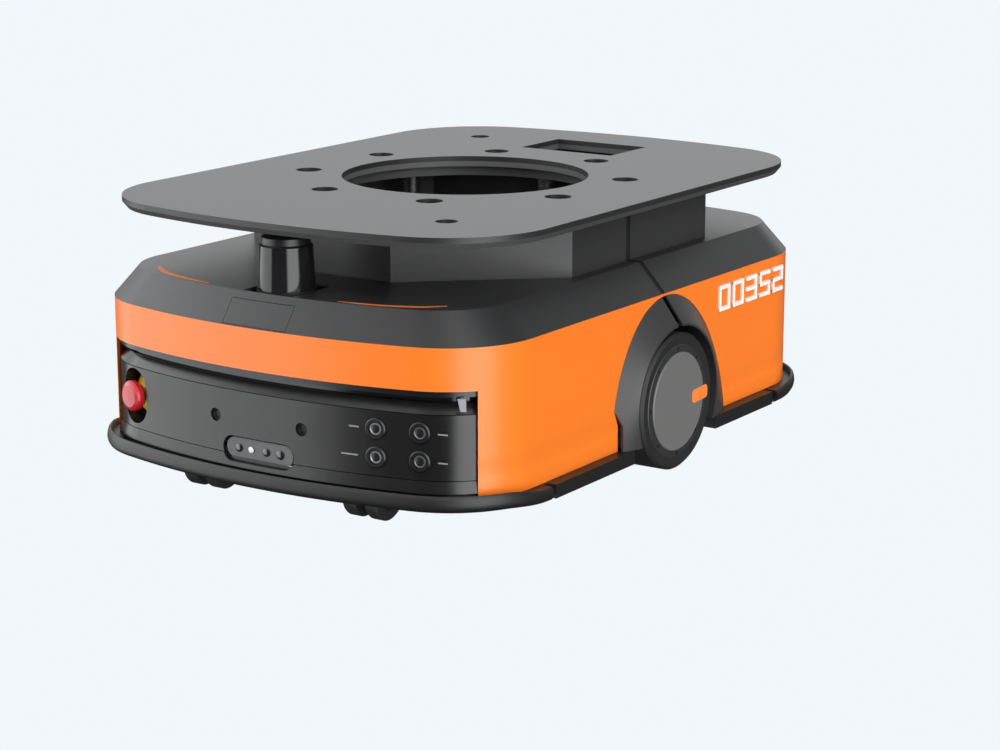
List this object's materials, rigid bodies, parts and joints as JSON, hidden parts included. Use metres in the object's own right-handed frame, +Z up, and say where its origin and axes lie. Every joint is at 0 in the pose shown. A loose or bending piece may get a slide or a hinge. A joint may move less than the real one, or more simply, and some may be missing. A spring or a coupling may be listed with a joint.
{
  "type": "autonomous mobile robot",
  "caption": "Low wheeled mobile robot with a lifting platform, side drive wheels, swivel casters, laser scanner, depth camera, sprung bumpers, push buttons and an emergency stop.",
  "frame": {"origin": "on the floor under the middle of the footprint", "axes": "+Z up, -Y towards the front with the control panel, +X towards the robot's own left side"},
  "size_m": [0.545, 0.7798, 0.3],
  "materials": {
    "orange_paint": "satin",
    "cover_plastic": "satin moulded",
    "panel_plastic": "satin moulded",
    "black_plastic": "matte",
    "scanner_window": "polished",
    "scanner_cap": "satin",
    "scanner_rotor": "anodised black",
    "platform_metal": "powder coated grey",
    "lift_steel": "powder coated",
    "bright_steel": "ground",
    "button_metal": "brushed",
    "button_housing_black": "matte",
    "estop_red": "satin",
    "estop_yellow": "satin",
    "estop_shaft": "matte",
    "bumper_rubber": "matte",
    "tyre_rubber": "matte",
    "hub_grey": "satin",
    "motor_casting": "cast",
    "battery_case": "matte",
    "electronics_casting": "cast",
    "charge_brass": "brushed",
    "caster_fork_steel": "zinc plated",
    "caster_tyre": "matte"
  },
  "bodies": {
    "chassis": {"access_cover": "cover_plastic", "base_plate": "lift_steel", "battery": "battery_case", "button_housings": "button_housing_black", "charge_contacts": "charge_brass", "chassis_frame": "lift_steel", "control_units": "electronics_casting", "cover_seam_strip": "black_plastic", "depth_camera": "black_plastic", "drive_motors": "motor_casting", "estop_collar": "estop_yellow", "estop_dish": "black_plastic", "front_bezel": "panel_plastic", "front_body_shell": "orange_paint", "front_control_panel": "panel_plastic", "front_deck_cover": "cover_plastic", "front_kick_strip": "panel_plastic", "front_sill": "panel_plastic", "front_tower_cover": "cover_plastic", "lidar_base": "black_plastic", "lidar_cap": "scanner_cap", "lidar_window": "scanner_window", "lift_actuators": "bright_steel", "lift_guide": "lift_steel", "load_camera": "black_plastic", "rear_body_shell": "orange_paint", "rear_deck_cover": "cover_plastic", "rear_panel": "panel_plastic", "rear_tower_cover": "cover_plastic", "side_skirts": "bumper_rubber", "slot_window": "black_plastic", "ultrasonic_sensors": "black_plastic", "wheel_arches": "cover_plastic"},
    "platform": {"platform_plate": "platform_metal", "lift_frame": "lift_steel", "lift_sleeve": "lift_steel", "lift_columns": "bright_steel"},
    "left_wheel": {"left_tyre": "tyre_rubber", "left_rim": "black_plastic", "left_hub_cap": "hub_grey"},
    "right_wheel": {"right_tyre": "tyre_rubber", "right_rim": "black_plastic", "right_hub_cap": "hub_grey"},
    "front_bumper_strip": {"front_bumper": "bumper_rubber"},
    "rear_bumper_strip": {"rear_bumper": "bumper_rubber"},
    "estop_plunger": {"estop_stem": "estop_shaft"},
    "estop_knob": {"estop_head": "estop_red"},
    "upper_inner_cap": {"upper_inner_button": "button_metal"},
    "upper_outer_cap": {"upper_outer_button": "button_metal"},
    "lower_inner_cap": {"lower_inner_button": "button_metal"},
    "lower_outer_cap": {"lower_outer_button": "button_metal"},
    "scanner_head": {"lidar_rotor": "scanner_rotor"},
    "front_left_caster": {"front_left_caster_fork": "caster_fork_steel"},
    "front_left_caster_roller": {"front_left_caster_wheels": "caster_tyre"},
    "front_right_caster": {"front_right_caster_fork": "caster_fork_steel"},
    "front_right_caster_roller": {"front_right_caster_wheels": "caster_tyre"},
    "rear_left_caster": {"rear_left_caster_fork": "caster_fork_steel"},
    "rear_left_caster_roller": {"rear_left_caster_wheels": "caster_tyre"},
    "rear_right_caster": {"rear_right_caster_fork": "caster_fork_steel"},
    "rear_right_caster_roller": {"rear_right_caster_wheels": "caster_tyre"}
  },
  "joints": [
    {"name": "platform_lift", "type": "slide", "parent": "chassis", "child": "platform", "axis": [0, 0, 1], "range_m": [0, 0.06]},
    {"name": "left_wheel_spin", "type": "hinge", "parent": "chassis", "child": "left_wheel", "pos_m": [0.24, 0.01, 0.075], "axis": [1, 0, 0], "continuous": true},
    {"name": "right_wheel_spin", "type": "hinge", "parent": "chassis", "child": "right_wheel", "pos_m": [-0.24, 0.01, 0.075], "axis": [1, 0, 0], "continuous": true},
    {"name": "front_left_caster_swivel", "type": "hinge", "parent": "chassis", "child": "front_left_caster", "pos_m": [0.105, -0.3, 0.06], "axis": [0, 0, 1], "continuous": true},
    {"name": "front_left_caster_roll", "type": "hinge", "parent": "front_left_caster", "child": "front_left_caster_roller", "pos_m": [0.105, -0.32, 0.025], "axis": [1, 0, 0], "continuous": true},
    {"name": "front_right_caster_swivel", "type": "hinge", "parent": "chassis", "child": "front_right_caster", "pos_m": [-0.105, -0.3, 0.06], "axis": [0, 0, 1], "continuous": true},
    {"name": "front_right_caster_roll", "type": "hinge", "parent": "front_right_caster", "child": "front_right_caster_roller", "pos_m": [-0.105, -0.32, 0.025], "axis": [1, 0, 0], "continuous": true},
    {"name": "rear_left_caster_swivel", "type": "hinge", "parent": "chassis", "child": "rear_left_caster", "pos_m": [0.105, 0.3, 0.06], "axis": [0, 0, 1], "continuous": true},
    {"name": "rear_left_caster_roll", "type": "hinge", "parent": "rear_left_caster", "child": "rear_left_caster_roller", "pos_m": [0.105, 0.28, 0.025], "axis": [1, 0, 0], "continuous": true},
    {"name": "rear_right_caster_swivel", "type": "hinge", "parent": "chassis", "child": "rear_right_caster", "pos_m": [-0.105, 0.3, 0.06], "axis": [0, 0, 1], "continuous": true},
    {"name": "rear_right_caster_roll", "type": "hinge", "parent": "rear_right_caster", "child": "rear_right_caster_roller", "pos_m": [-0.105, 0.28, 0.025], "axis": [1, 0, 0], "continuous": true},
    {"name": "front_bumper_press", "type": "slide", "parent": "chassis", "child": "front_bumper_strip", "axis": [0, 1, 0], "range_m": [0, 0.006], "stiffness_N_per_m": 3000},
    {"name": "rear_bumper_press", "type": "slide", "parent": "chassis", "child": "rear_bumper_strip", "axis": [0, -1, 0], "range_m": [0, 0.006], "stiffness_N_per_m": 3000},
    {"name": "estop_press", "type": "slide", "parent": "chassis", "child": "estop_plunger", "axis": [0.248, 0.9688, 0], "range_m": [0, 0.004]},
    {"name": "estop_twist", "type": "hinge", "parent": "estop_plunger", "child": "estop_knob", "pos_m": [-0.185, -0.3507, 0.0935], "axis": [0.248, 0.9688, 0], "range_deg": [0, 30], "stiffness_Nm_per_rad": 0.05},
    {"name": "upper_inner_press", "type": "slide", "parent": "chassis", "child": "upper_inner_cap", "axis": [-0.1877, 0.9822, 0], "range_m": [0, 0.002], "stiffness_N_per_m": 800},
    {"name": "upper_outer_press", "type": "slide", "parent": "chassis", "child": "upper_outer_cap", "axis": [-0.2493, 0.9684, 0], "range_m": [0, 0.002], "stiffness_N_per_m": 800},
    {"name": "lower_inner_press", "type": "slide", "parent": "chassis", "child": "lower_inner_cap", "axis": [-0.1877, 0.9822, 0], "range_m": [0, 0.002], "stiffness_N_per_m": 800},
    {"name": "lower_outer_press", "type": "slide", "parent": "chassis", "child": "lower_outer_cap", "axis": [-0.2493, 0.9684, 0], "range_m": [0, 0.002], "stiffness_N_per_m": 800},
    {"name": "scanner_spin", "type": "hinge", "parent": "chassis", "child": "scanner_head", "pos_m": [0, -0.321, 0.24], "axis": [0, 0, 1], "continuous": true}
  ]
}
